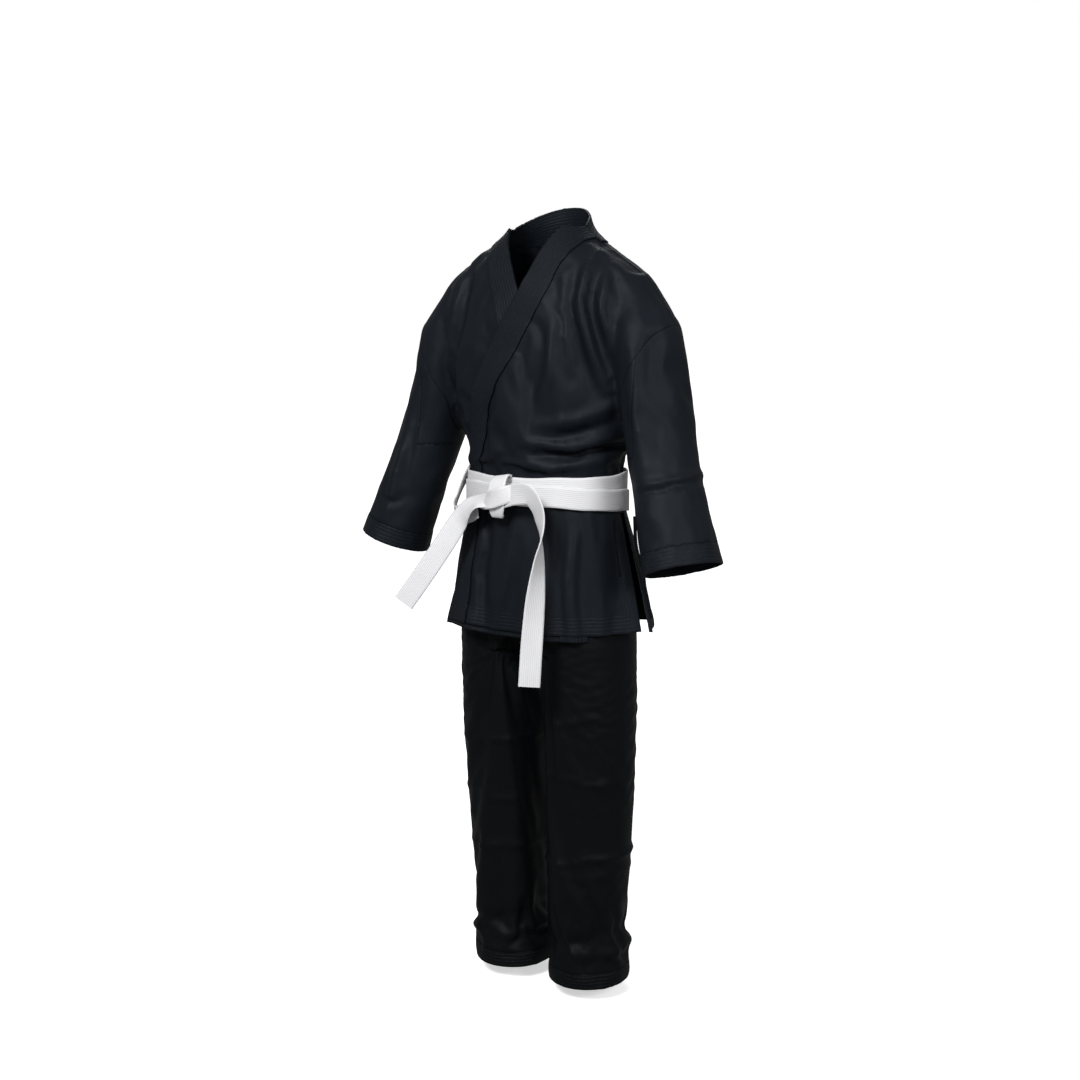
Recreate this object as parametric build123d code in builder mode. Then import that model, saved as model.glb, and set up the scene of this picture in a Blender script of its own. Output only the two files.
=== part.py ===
"""Karate uniform hanging as it is worn: wrapped jacket, loose trousers and a tied belt.

Millimetres. The origin is the middle of the waist, +Z is up, the wearer faces -Y and the wearer's left is +X.
"""

import os
from math import atan2, degrees

from build123d import *

os.makedirs("parts", exist_ok=True)

CLOTH = 2.0  # thickness of one cloth solid
LAPEL = 4.0  # thickness of a stitched lapel band
UNDER = 5.6  # how far the right front lies inside the left front
PIECE_GAP = 0.6  # gap between two pieces that move against each other
FAR = 700.0  # half size of the blocks that only trim a shell

# Sections of each form: height, centre x, centre y, half width, half depth
TORSO = [
    (-252, 0, 5, 208, 148), (-150, 0, 3, 190, 134), (-60, 0, 0, 168, 117), (-28, 0, 0, 158, 109),
    (28, 0, 0, 158, 109), (60, 0, 0, 166, 115), (120, 0, 2, 186, 124), (180, 0, 3, 203, 127),
    (240, 0, 5, 224, 126), (300, 0, 6, 243, 120), (340, 0, 6, 248, 112), (385, 0, 6, 218, 102),
    (420, 1, 7, 160, 93), (450, 3, 9, 104, 84), (478, 4, 12, 72, 72),
]  # fmt: skip
SLEEVE = [
    (378, 188, 6, 26, 42), (340, 206, 5, 46, 60), (305, 218, 2, 60, 76), (250, 226, 0, 64, 79), (200, 236, -3, 63, 77),
    (100, 260, -15, 62, 72), (0, 292, -35, 63, 71), (-100, 324, -50, 69, 75), (-190, 354, -62, 75, 80),
]  # fmt: skip
COLLAR = [(438, 3, 8, 100, 80), (476, 4, 12, 72, 70), (520, 4, 14, 62, 64)]
HIPS = [
    (30, 0, 0, 144, 95), (0, 0, 0, 146, 97), (-60, 0, 0, 155, 105), (-150, 0, 3, 173, 118),
    (-230, 0, 5, 186, 124), (-262, 0, 5, 188, 122),
]  # fmt: skip
LEG = [
    (-190, 94, 4, 78, 94), (-280, 100, 5, 86, 103), (-400, 104, 8, 85, 98), (-500, 105, 10, 81, 92),
    (-700, 101, 14, 77, 85), (-890, 96, 18, 77, 82), (-950, 94, 20, 80, 85),
]  # fmt: skip

# Front edges seen from the front (x, z): the left lapel is on top
LEFT_EDGE = [(68, 490), (10, 360), (-45, 266), (-104, 170), (-122, 60), (-126, 0), (-130, -120), (-136, -300)]
LEFT_SEAM = [(120, 490), (58, 336), (6, 240), (-55, 152), (-75, 60), (-78, 0), (-83, -120), (-88, -300)]
RIGHT_EDGE = [(-60, 490), (10, 360), (62, 200), (108, 60), (120, 0), (146, -150), (166, -300)]
RIGHT_SEAM = [(-112, 490), (-42, 336), (12, 184), (60, 60), (72, 0), (98, -150), (118, -300)]

# Line between body and sleeve seen from the front (x, z), from the outer end of the armhole seam, where the
# sleeve swings, past its underarm end and down the space between body and sleeve
ARMHOLE = [(276, 308), (199, 166), (197, 120), (200, 0), (236, -190), (236, -FAR)]
GUSSET_REACH = 246.0
GUSSET_LOW = 72.0
CUFF_DEPTH = 36.0
SLEEVE_END = -114.0
VENT_TOP = -40.0
VENT_WIDTH = 14.0
VENT_INSIDE = 100.0
NECK_BASE = 446.0
NECK_SIDE = 474.0  # top of the collar at the sides of the neck
NECK_TOP = 516.0  # and behind the neck
NECK_REAR = 78.0

KNEE_TOP = -400.0
KNEE_BOTTOM = -590.0
CROTCH_HALF = 40.0
CROTCH_LOW = -335.0
CROTCH_HIGH = -205.0
TROUSER_HEM_DEPTH = 30.0
WAISTBAND_DEPTH = 30.0

BELT_WIDTH = 40.0
BELT_PLY = 3.0
BELT_CLEAR = 4.3  # the belt lies over the lapel band
# The two turns part toward the back: ply from the inside, height of the middle line in front and behind
TURNS = {"belt_inner_turn": (0, 6, 18), "belt_outer_turn": (1, -6, -28)}
TURN_REACH = 60.0


def stack(sections, inset=0.0, side=1):
    """Closed form through elliptical sections, each made smaller by the inset."""
    with BuildPart() as form:
        for z, cx, cy, half_width, half_depth in sections:
            with BuildSketch(Plane.XY.offset(z)):
                with Locations((side * cx, cy)):
                    Ellipse(half_width - inset, half_depth - inset)
        loft(ruled=True)
    return form.part


def jacket_layer(outer, inner):
    """Hollow layer of the jacket between two insets, sleeves and all."""
    with BuildPart() as layer:
        for inset, mode in ((outer, Mode.ADD), (inner, Mode.SUBTRACT)):
            add(stack(TORSO, inset), mode=mode)
            for side in (1, -1):
                add(stack(SLEEVE, inset, side), mode=mode)
    return layer.part


def trouser_layer():
    """Hollow layer of the trousers down to both hems."""
    open_hips = [(z + CLOTH if z == HIPS[-1][0] else z, *rest) for z, *rest in HIPS]
    with BuildPart() as layer:
        add(stack(HIPS))
        for side in (1, -1):
            add(stack(LEG, 0, side))
        add(stack(open_hips, CLOTH), mode=Mode.SUBTRACT)
        for side in (1, -1):
            add(stack(LEG, CLOTH, side), mode=Mode.SUBTRACT)
    return layer.part


def front_prism(points):
    """Block over the front half whose outline is given as x, z points."""
    with BuildPart() as prism:
        with BuildSketch(Plane.XZ):
            with BuildLine():
                Polyline(*points, close=True)
            make_face()
        extrude(amount=FAR)
    return prism.part


def block(x0, x1, y0, y1, z0, z1):
    """Plain block between two corners."""
    with BuildPart() as solid:
        with Locations(((x0 + x1) / 2, (y0 + y1) / 2, (z0 + z1) / 2)):
            Box(x1 - x0, y1 - y0, z1 - z0)
    return solid.part


def sleeve_zone(side, grow=0.0):
    """Block that holds one sleeve, grown toward the body by a gap."""
    edge = [(side * (x - grow), z + grow) for x, z in ARMHOLE]
    with BuildPart() as zone:
        with BuildSketch(Plane.XZ):
            with BuildLine():
                Polyline(*edge, (side * FAR, -FAR), (side * FAR, edge[0][1]), close=True)
            make_face()
        extrude(amount=FAR, both=True)
    return zone.part


def cuff_plane(side, shift=0.0):
    """Plane across the sleeve end, square to the sleeve, moved up the sleeve by the shift."""
    (z0, x0, y0, *_), (z1, x1, y1, *_) = SLEEVE[-3], SLEEVE[-1]
    end = (side * x1, y1, SLEEVE_END)
    return Plane(origin=end, x_dir=(1, 0, 0), z_dir=(side * (x0 - x1), y0 - y1, z0 - z1)).offset(shift)


def strap(start, end, width, thickness, across=(1, 0, 0)):
    """Flat strap from start to end; the width lies along the across direction."""
    run = Vector(*end) - Vector(*start)
    with BuildPart() as tape:
        with BuildSketch(Plane(origin=start, x_dir=across, z_dir=run)):
            Rectangle(width, thickness)
        extrude(amount=run.length)
    return tape.part


def save(piece, name):
    """Label one sub-part and write its STEP file."""
    piece.part.label = name
    export_step(piece.part, f"parts/{name}.step")


outer_layer = jacket_layer(0, CLOTH)
under_layer = jacket_layer(UNDER, UNDER + CLOTH)
over_layer = jacket_layer(-LAPEL, 0)
between_layer = jacket_layer(UNDER - LAPEL + PIECE_GAP, UNDER)
vents = {
    side: block(*sorted((side * VENT_INSIDE, side * FAR)), -VENT_WIDTH / 2, VENT_WIDTH / 2, -FAR, VENT_TOP)
    for side in (1, -1)
}

# Neck band: the standing back half of the collar
with BuildPart() as neck_band:
    for grow, mode in ((LAPEL, Mode.ADD), (0, Mode.SUBTRACT)):
        for z, cx, cy, half_width, half_depth in COLLAR:
            with BuildSketch(Plane.XY.offset(z)):
                with Locations((cx, cy)):
                    Ellipse(half_width + grow, half_depth + grow)
        loft(ruled=True, mode=mode)
    add(block(-FAR, FAR, 0, FAR, -FAR, FAR), mode=Mode.INTERSECT)
    split(bisect_by=Plane(origin=(0, 0, NECK_SIDE), z_dir=(0, NECK_SIDE - NECK_TOP, NECK_REAR)), keep=Keep.BOTTOM)
save(neck_band, "neck_band")

# Lapels: stitched bands down both front edges
with BuildPart() as left_lapel:
    add(over_layer)
    add(front_prism(LEFT_EDGE + LEFT_SEAM[::-1]), mode=Mode.INTERSECT)
    add(block(-FAR, FAR, -FAR, 0, -FAR, NECK_SIDE), mode=Mode.INTERSECT)
    add(neck_band.part, mode=Mode.SUBTRACT)
save(left_lapel, "left_lapel")

with BuildPart() as right_lapel:
    add(between_layer)
    add(front_prism(RIGHT_EDGE + RIGHT_SEAM[::-1]), mode=Mode.INTERSECT)
    add(block(-FAR, FAR, -FAR, 0, -FAR, NECK_SIDE), mode=Mode.INTERSECT)
    add(neck_band.part, mode=Mode.SUBTRACT)
save(right_lapel, "right_lapel")

# Jacket fronts: the left one crosses over the right one
with BuildPart() as left_front:
    add(outer_layer)
    add(front_prism(LEFT_EDGE + [(FAR, -FAR), (FAR, FAR)]), mode=Mode.INTERSECT)
    add(sleeve_zone(1, PIECE_GAP), mode=Mode.SUBTRACT)
    add(vents[1], mode=Mode.SUBTRACT)
    add(neck_band.part, mode=Mode.SUBTRACT)
    add(block(-FAR, FAR, -FAR, FAR, NECK_SIDE, FAR), mode=Mode.SUBTRACT)
save(left_front, "left_front")

with BuildPart() as right_front:
    add(under_layer)
    add(front_prism(RIGHT_EDGE + [(-FAR, -FAR), (-FAR, FAR)]), mode=Mode.INTERSECT)
    add(sleeve_zone(-1, PIECE_GAP), mode=Mode.SUBTRACT)
    add(vents[-1], mode=Mode.SUBTRACT)
    add(neck_band.part, mode=Mode.SUBTRACT)
    add(block(-FAR, FAR, -FAR, FAR, NECK_SIDE, FAR), mode=Mode.SUBTRACT)
save(right_front, "right_front")

# Jacket backs: two panels with a seam down the middle
for side, name in ((1, "left_back"), (-1, "right_back")):
    with BuildPart() as back_panel:
        add(outer_layer)
        add(block(*sorted((0, side * FAR)), 0, FAR, -FAR, NECK_BASE), mode=Mode.INTERSECT)
        add(sleeve_zone(side, PIECE_GAP), mode=Mode.SUBTRACT)
        add(vents[side], mode=Mode.SUBTRACT)
        add(neck_band.part, mode=Mode.SUBTRACT)
    save(back_panel, name)

# Sleeves with an underarm gusset and a turned cuff
for side, word in ((1, "left"), (-1, "right")):
    gusset_zone = block(*sorted((0, side * GUSSET_REACH)), -FAR, FAR, GUSSET_LOW, FAR)
    for name in ("sleeve", "underarm_gusset", "cuff"):
        with BuildPart() as sleeve_piece:
            add(outer_layer)
            add(sleeve_zone(side), mode=Mode.INTERSECT)
            if name == "cuff":
                split(bisect_by=cuff_plane(side, CUFF_DEPTH), keep=Keep.BOTTOM)
                split(bisect_by=cuff_plane(side), keep=Keep.TOP)
            else:
                split(bisect_by=cuff_plane(side, CUFF_DEPTH), keep=Keep.TOP)
                add(gusset_zone, mode=Mode.SUBTRACT if name == "sleeve" else Mode.INTERSECT)
        save(sleeve_piece, f"{word}_{name}")

# Trousers: waistband, two halves, crotch gusset, knee sections, lower legs and turned hems
trousers = trouser_layer()
crotch_zone = block(-CROTCH_HALF, CROTCH_HALF, -FAR, FAR, CROTCH_LOW, CROTCH_HIGH)
with BuildPart() as trouser_waistband:
    add(trousers)
    add(block(-FAR, FAR, -FAR, FAR, HIPS[0][0] - WAISTBAND_DEPTH, FAR), mode=Mode.INTERSECT)
save(trouser_waistband, "trouser_waistband")

with BuildPart() as crotch_gusset:
    add(trousers)
    add(crotch_zone, mode=Mode.INTERSECT)
save(crotch_gusset, "crotch_gusset")

LEG_PIECES = [
    ("trouser_thigh", KNEE_TOP, HIPS[0][0] - WAISTBAND_DEPTH),
    ("trouser_knee", KNEE_BOTTOM, KNEE_TOP),
    ("trouser_shin", LEG[-1][0] + TROUSER_HEM_DEPTH, KNEE_BOTTOM),
    ("trouser_hem", LEG[-1][0], LEG[-1][0] + TROUSER_HEM_DEPTH),
]
for side, word in ((1, "left"), (-1, "right")):
    for name, low, high in LEG_PIECES:
        with BuildPart() as leg_piece:
            add(trousers)
            add(block(*sorted((0, side * FAR)), -FAR, FAR, low, high), mode=Mode.INTERSECT)
            add(crotch_zone, mode=Mode.SUBTRACT)
        save(leg_piece, f"{word}_{name}")

# Belt: two turns, a flat knot and two tails
WAIST_WIDTH, WAIST_DEPTH = TORSO[3][3], TORSO[3][4]
for name, (ply, front_lift, back_lift) in TURNS.items():
    inner_face = BELT_CLEAR + ply * (BELT_PLY + 0.2)
    tilt = degrees(atan2(back_lift - front_lift, 2 * WAIST_DEPTH))
    with BuildPart() as turn:
        with BuildSketch(Plane.XY.offset(-TURN_REACH)):
            Ellipse(WAIST_WIDTH + inner_face + BELT_PLY, WAIST_DEPTH + inner_face + BELT_PLY)
            Ellipse(WAIST_WIDTH + inner_face, WAIST_DEPTH + inner_face, mode=Mode.SUBTRACT)
        extrude(amount=2 * TURN_REACH)
        with Locations(Location((0, 0, (front_lift + back_lift) / 2), (tilt, 0, 0))):
            Box(FAR, FAR, BELT_WIDTH, mode=Mode.INTERSECT)
    save(turn, name)

BELT_FRONT = -(WAIST_DEPTH + BELT_CLEAR + 2 * BELT_PLY + 1.0)
KNOT_WIDTH, KNOT_DEPTH, KNOT_HEIGHT = 54.0, 26.0, 42.0
KNOT_Z = -14.0
with BuildPart() as belt_knot:
    with Locations((0, BELT_FRONT - KNOT_DEPTH / 2, KNOT_Z)):
        Box(KNOT_WIDTH, KNOT_DEPTH, KNOT_HEIGHT)
    fillet(belt_knot.edges().filter_by(Axis.Y), radius=12)
    fillet(belt_knot.faces().sort_by(Axis.Y)[0].edges(), radius=8)
save(belt_knot, "belt_knot")

TAIL_THICK = 3.5
LEFT_LOOP = [(28, -139, -14), (98, -141, -12)]
LEFT_TAIL = [(98, -145, -16), (90, -176, -342)]
RIGHT_LOOP = [(-36, -139, -18), (-92, -139, -52)]
RIGHT_TAIL = [(-97, -143, -59), (-180, -206, -214)]

with BuildPart() as left_loop:
    add(strap(*LEFT_LOOP, BELT_WIDTH - 10, TAIL_THICK, (0, 0, 1)))
save(left_loop, "belt_left_loop")
with BuildPart() as right_loop:
    add(strap(*RIGHT_LOOP, BELT_WIDTH - 10, TAIL_THICK, (0, 0, 1)))
save(right_loop, "belt_right_loop")
with BuildPart() as left_tail:
    add(strap(*LEFT_TAIL, BELT_WIDTH, TAIL_THICK))
save(left_tail, "belt_left_tail")
with BuildPart() as right_tail:
    add(strap(*RIGHT_TAIL, BELT_WIDTH, TAIL_THICK, (-0.80, 0.05, 0.41)))
save(right_tail, "belt_right_tail")

# Fastening tapes at both side vents
TAPE_WIDTH, TAPE_THICK = 10.0, 1.6
TAPES = {
    "front_tie": [(180, -44, -46), (203, -56, -147)],
    "back_tie": [(187, 16, -46), (219, 24, -234)],
}
for side, word in ((1, "left"), (-1, "right")):
    for name, (start, end) in TAPES.items():
        with BuildPart() as tie:
            add(strap((side * start[0], *start[1:]), (side * end[0], *end[1:]), TAPE_WIDTH, TAPE_THICK, (0, 1, 0)))
        save(tie, f"{word}_{name}")
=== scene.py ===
import math

import bmesh
import bpy
import numpy as np
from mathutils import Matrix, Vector, noise


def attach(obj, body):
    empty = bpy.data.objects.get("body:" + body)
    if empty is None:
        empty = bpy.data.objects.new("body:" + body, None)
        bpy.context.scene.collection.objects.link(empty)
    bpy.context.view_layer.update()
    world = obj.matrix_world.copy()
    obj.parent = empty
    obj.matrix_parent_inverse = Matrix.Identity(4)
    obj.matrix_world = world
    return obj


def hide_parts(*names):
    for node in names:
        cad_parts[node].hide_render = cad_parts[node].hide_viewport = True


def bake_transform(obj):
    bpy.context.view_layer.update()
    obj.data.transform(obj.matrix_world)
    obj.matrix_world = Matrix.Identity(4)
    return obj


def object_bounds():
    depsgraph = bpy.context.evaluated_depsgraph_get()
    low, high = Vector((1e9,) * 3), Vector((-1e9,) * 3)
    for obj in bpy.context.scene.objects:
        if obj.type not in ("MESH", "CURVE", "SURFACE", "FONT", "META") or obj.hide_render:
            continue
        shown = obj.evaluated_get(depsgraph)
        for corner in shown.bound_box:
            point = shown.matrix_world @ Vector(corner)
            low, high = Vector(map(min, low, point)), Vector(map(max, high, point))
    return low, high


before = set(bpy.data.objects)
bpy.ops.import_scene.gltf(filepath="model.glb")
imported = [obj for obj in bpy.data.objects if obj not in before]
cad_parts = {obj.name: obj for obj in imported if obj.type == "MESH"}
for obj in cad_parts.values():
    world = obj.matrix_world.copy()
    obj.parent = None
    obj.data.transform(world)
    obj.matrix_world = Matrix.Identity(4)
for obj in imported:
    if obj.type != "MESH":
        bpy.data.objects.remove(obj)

START_BOUNDS = [list(v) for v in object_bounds()]

# Forms in metres: height, centre x, centre y, half width, half depth. TORSO, SLEEVE, HIPS and LEG follow the
# sections of the CAD, with the lower legs a little narrower; BODY, HIP_BODY, ARM and LEG_BODY stand in for the
# wearer while the cloth settles, and are removed.
TORSO = [
    (-.300, 0, .005, .218, .155), (-.252, 0, .005, .208, .148), (-.150, 0, .003, .190, .134),
    (-.060, 0, 0, .168, .117), (-.028, 0, 0, .158, .109), (.028, 0, 0, .158, .109),
    (.060, 0, 0, .166, .115), (.120, 0, .002, .186, .124), (.180, 0, .003, .203, .127),
    (.240, 0, .005, .224, .126), (.300, 0, .006, .243, .120), (.340, 0, .006, .248, .112),
    (.385, 0, .006, .218, .102), (.420, .001, .007, .160, .093), (.450, .003, .009, .104, .084),
    (.478, .004, .012, .072, .072), (.560, .004, .014, .058, .060),
]
SLEEVE = [
    (.378, .188, .006, .026, .042), (.340, .206, .005, .046, .060), (.305, .218, .002, .060, .076),
    (.250, .226, 0, .064, .079), (.200, .236, -.003, .063, .077), (.100, .260, -.015, .062, .072),
    (0, .292, -.035, .063, .071), (-.100, .324, -.050, .069, .075), (-.190, .354, -.062, .075, .080),
    (-.230, .363, -.067, .076, .081),
]
HIPS = [
    (.050, 0, 0, .144, .095), (0, 0, 0, .146, .097), (-.060, 0, 0, .155, .105),
    (-.150, 0, .003, .173, .118), (-.230, 0, .005, .186, .124), (-.262, 0, .005, .188, .122),
]
LEG = [
    (-.190, .094, .004, .078, .094), (-.280, .100, .005, .086, .103), (-.400, .104, .008, .085, .098),
    (-.500, .105, .010, .081, .092), (-.700, .099, .014, .074, .084), (-.880, .091, .018, .070, .080),
    (-.920, .089, .019, .074, .082), (-.950, .089, .020, .077, .084), (-.990, .089, .021, .078, .086),
]
BODY = [
    (-.300, 0, .005, .186, .128), (-.200, 0, .004, .178, .124), (-.120, 0, .003, .166, .116),
    (-.050, 0, 0, .150, .102), (0, 0, 0, .142, .094), (.050, 0, 0, .148, .098),
    (.120, 0, .002, .166, .108), (.200, 0, .003, .186, .114), (.260, 0, .004, .200, .114),
    (.310, 0, .005, .214, .110), (.345, 0, .006, .216, .104), (.385, 0, .006, .202, .094),
    (.415, .001, .007, .156, .086), (.445, .003, .009, .096, .078), (.472, .004, .012, .064, .064),
    (.550, .004, .014, .050, .052),
]
HIP_BODY = [
    (-.300, 0, .005, .150, .100), (-.200, 0, .003, .160, .106), (-.060, 0, 0, .146, .096),
    (0, 0, 0, .138, .090), (.060, 0, 0, .138, .090),
]
ARM = [
    (.385, .182, .006, .026, .034), (.350, .196, .005, .040, .050), (.300, .212, .002, .050, .060),
    (.220, .230, -.001, .052, .062), (.100, .260, -.015, .050, .058), (0, .291, -.035, .051, .058),
    (-.100, .323, -.050, .056, .062), (-.200, .352, -.062, .061, .067),
]
LEG_BODY = [
    (-.190, .092, .004, .070, .086), (-.280, .099, .005, .078, .093), (-.480, .104, .008, .072, .082),
    (-.700, .101, .014, .066, .073), (-.860, .092, .016, .056, .064), (-.920, .089, .016, .058, .068),
    (-1.00, .088, .010, .062, .078),
]
LEFT_EDGE = [
    (.068, .490), (.010, .360), (-.045, .266), (-.104, .170), (-.122, .060), (-.126, 0), (-.130, -.120),
    (-.136, -.300),
]
LEFT_SEAM = [
    (.120, .490), (.058, .336), (.006, .240), (-.055, .152), (-.075, .060), (-.078, 0), (-.083, -.120),
    (-.088, -.300),
]
RIGHT_EDGE = [
    (-.060, .490), (.010, .360), (.062, .200), (.108, .060), (.120, 0), (.146, -.150), (.166, -.300),
]
RIGHT_SEAM = [
    (-.112, .490), (-.042, .336), (.012, .184), (.060, .060), (.072, 0), (.098, -.150), (.118, -.300),
]
ARMHOLE = [
    (.276, .308), (.199, .166), (.197, .120), (.200, 0), (.236, -.190), (.236, -.700),
]
HEM_Z, UNDER_HEM, VENT_Z, VENT_HALF = -.252, .011, -.040, .006
NECK_BASE, NECK_SIDE, NECK_TOP, NECK_REAR, SPLIT_Y = .446, .474, .516, .078, .006
WAIST_LOW, WAIST_TOP, TROUSER_END, TROUSER_HEM = 0.0, .030, -.950, .030
CROTCH_HALF, CROTCH_LOW, CROTCH_HIGH = .040, -.335, -.205
GUSSET_X, GUSSET_Z, CUFF_DEEP, SLEEVE_END = .246, .072, .036, -.114


def dense(table, step=.004, blur=5):
    """Sections every few millimetres with the corners between the given ones rounded off."""
    t = np.array(sorted(table), float)
    z = np.arange(t[0, 0], t[-1, 0] + 1e-9, step)
    cols = [np.interp(z, t[:, 0], t[:, i]) for i in range(1, 5)]
    for _ in range(blur):
        for c in cols:
            c[1:-1] = (c[:-2] + 2 * c[1:-1] + c[2:]) / 4
    return np.column_stack([z, *cols])


def tube(table, side=1, around=72):
    """Closed form through elliptical sections as vertices and faces."""
    rows = dense(table, blur=14)
    angle = np.linspace(0, 2 * math.pi, around, endpoint=False)
    verts = []
    for z, cx, cy, a, b in rows:
        verts += [(side * cx + a * math.cos(t), cy + b * math.sin(t), z) for t in angle]
    faces = []
    for r in range(len(rows) - 1):
        low, high = r * around, (r + 1) * around
        for i in range(around):
            j = (i + 1) % around
            faces.append((low + i, low + j, high + j, high + i))
    faces.append(tuple(range(around - 1, -1, -1)))
    faces.append(tuple(range((len(rows) - 1) * around, len(rows) * around)))
    return verts, faces


def mesh_object(name, verts, faces):
    data = bpy.data.meshes.new(name)
    data.from_pydata([tuple(v) for v in verts], [], [tuple(f) for f in faces])
    data.update()
    obj = bpy.data.objects.new(name, data)
    bpy.context.scene.collection.objects.link(obj)
    return obj


def joined(name, forms):
    verts, faces = [], []
    for v, f in forms:
        base = len(verts)
        verts += v
        faces += [tuple(i + base for i in face) for face in f]
    return mesh_object(name, verts, faces)


def evaluated(obj):
    dg = bpy.context.evaluated_depsgraph_get()
    return bpy.data.meshes.new_from_object(obj.evaluated_get(dg))


def remeshed(name, forms, size):
    """One skin round several overlapping forms, in even quads."""
    obj = joined(name, forms)
    mod = obj.modifiers.new("skin", "REMESH")
    mod.mode, mod.voxel_size, mod.adaptivity = "VOXEL", size, 0
    skin = evaluated(obj)
    obj.modifiers.clear()
    obj.data = skin
    for _ in range(3):
        bm = bmesh.new()
        bm.from_mesh(obj.data)
        axes = {"use_axis_x": True, "use_axis_y": True, "use_axis_z": True}
        bmesh.ops.smooth_vert(bm, verts=bm.verts, factor=.5, **axes)
        bm.to_mesh(obj.data)
        bm.free()
    return obj


def coords(mesh):
    co = np.zeros(len(mesh.vertices) * 3)
    mesh.vertices.foreach_get("co", co)
    return co.reshape(-1, 3)


def set_coords(mesh, co):
    mesh.vertices.foreach_set("co", np.asarray(co, np.float32).ravel())
    mesh.update()


def line_x(line, z):
    """x of a front-view line at height z."""
    pts = np.array(line)[::-1]
    return np.interp(z, pts[:, 1], pts[:, 0])


def sleeve_side(co):
    """Above 0 inside the left sleeve, measured with |x|, and below 0 in the body of the jacket."""
    x, z = np.abs(co[:, 0]), co[:, 2]
    edge = line_x(ARMHOLE, np.minimum(z, ARMHOLE[0][1]))
    return np.where(z > ARMHOLE[0][1], -1.0, x - edge)


def delete_faces(obj, keep):
    """Keeps the faces whose middle passes the test."""
    bm = bmesh.new()
    bm.from_mesh(obj.data)
    mids = np.array([f.calc_center_median() for f in bm.faces])
    ok = keep(mids)
    bm.faces.ensure_lookup_table()
    bmesh.ops.delete(bm, geom=[f for f, k in zip(bm.faces, ok) if not k], context="FACES")
    bm.to_mesh(obj.data)
    bm.free()


def cuff_height(co):
    """Height above the sleeve end, measured along the sleeve."""
    (z1, x1, y1), (z0, x0, y0) = SLEEVE[-2][:3], SLEEVE[-4][:3]
    d = np.array([x0 - x1, y0 - y1, z0 - z1])
    d /= np.linalg.norm(d)
    end = np.array([x1, y1, SLEEVE_END])
    flat = co.copy()
    flat[:, 0] = np.abs(flat[:, 0])
    return (flat - end) @ d


TENSION, CLOTH_MASS = 80, .25


def simulate(obj, frames, pins, stiff, calm, shrink=-.03, bend=6.0, bend_max=40.0, pull=5.0):
    """Runs the cloth solver and returns the points of its last shape."""
    group = obj.vertex_groups.new(name="pin")
    for i, w in enumerate(pins):
        if w > 0:
            group.add([i], float(w), "REPLACE")
    mod = obj.modifiers.new("cloth", "CLOTH")
    s = mod.settings
    s.quality, s.mass, s.air_damping = 6, CLOTH_MASS, 2.0
    s.tension_stiffness = s.compression_stiffness = TENSION
    s.shear_stiffness = TENSION / 2
    s.tension_damping = s.compression_damping = s.shear_damping = 8
    s.bending_model = "ANGULAR"
    s.bending_stiffness, s.bending_damping = bend, .6
    for name, weights in (("hard", stiff), ("calm", calm)):
        extra = obj.vertex_groups.new(name=name)
        for i, w in enumerate(weights):
            if w > 0:
                extra.add([i], float(w), "REPLACE")
    s.vertex_group_bending, s.bending_stiffness_max = "hard", bend_max
    s.vertex_group_mass, s.pin_stiffness = "pin", 1.0
    s.vertex_group_shrink, s.shrink_min, s.shrink_max = "calm", shrink, -.004
    c = mod.collision_settings
    c.collision_quality, c.distance_min, c.use_self_collision = 2, .0025, False
    mod.point_cache.frame_start, mod.point_cache.frame_end = 1, frames
    scene = bpy.context.scene
    scene.gravity = (0, 0, -pull)
    for f in range(1, frames + 1):
        scene.frame_set(f)
    done = evaluated(obj)
    co = coords(done)
    obj.modifiers.clear()
    scene.frame_set(1)
    bpy.data.meshes.remove(done)
    return co


def collider(name, forms):
    obj = joined(name, forms)
    obj.modifiers.new("hit", "COLLISION")
    obj.collision.thickness_outer = .002
    obj.collision.cloth_friction = 8
    return obj


# Cloth forms
def collar_top(y):
    """Height of the collar's top edge, which rises behind the neck."""
    return NECK_SIDE + np.clip(y, 0, 1) * (NECK_TOP - NECK_SIDE) / NECK_REAR


def neck_keep(mids, slack=0.0):
    """False where the neck and the V between the lapels are open."""
    x, y, z = mids.T
    between = (x < line_x(LEFT_EDGE, z) - slack) & (x > line_x(RIGHT_EDGE, z) + slack)
    v_open = (y < .008) & (z > .36 - slack) & between
    return ~v_open & (z < collar_top(y) + 2 * slack)


def jacket_form():
    skin = remeshed("jacket_skin", [tube(TORSO), tube(SLEEVE, 1), tube(SLEEVE, -1)], .0085)

    def keep(m):
        in_arm = (sleeve_side(m) < 0) | (cuff_height(m) > -.012)
        return neck_keep(m, .009) & (m[:, 2] > HEM_Z - .024) & in_arm

    delete_faces(skin, keep)
    return skin


def trouser_form():
    skin = remeshed("trouser_skin", [tube(HIPS), tube(LEG, 1), tube(LEG, -1)], .0085)
    delete_faces(skin, lambda m: (m[:, 2] < WAIST_TOP + .009) & (m[:, 2] > TROUSER_END - .012))
    return skin


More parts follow.
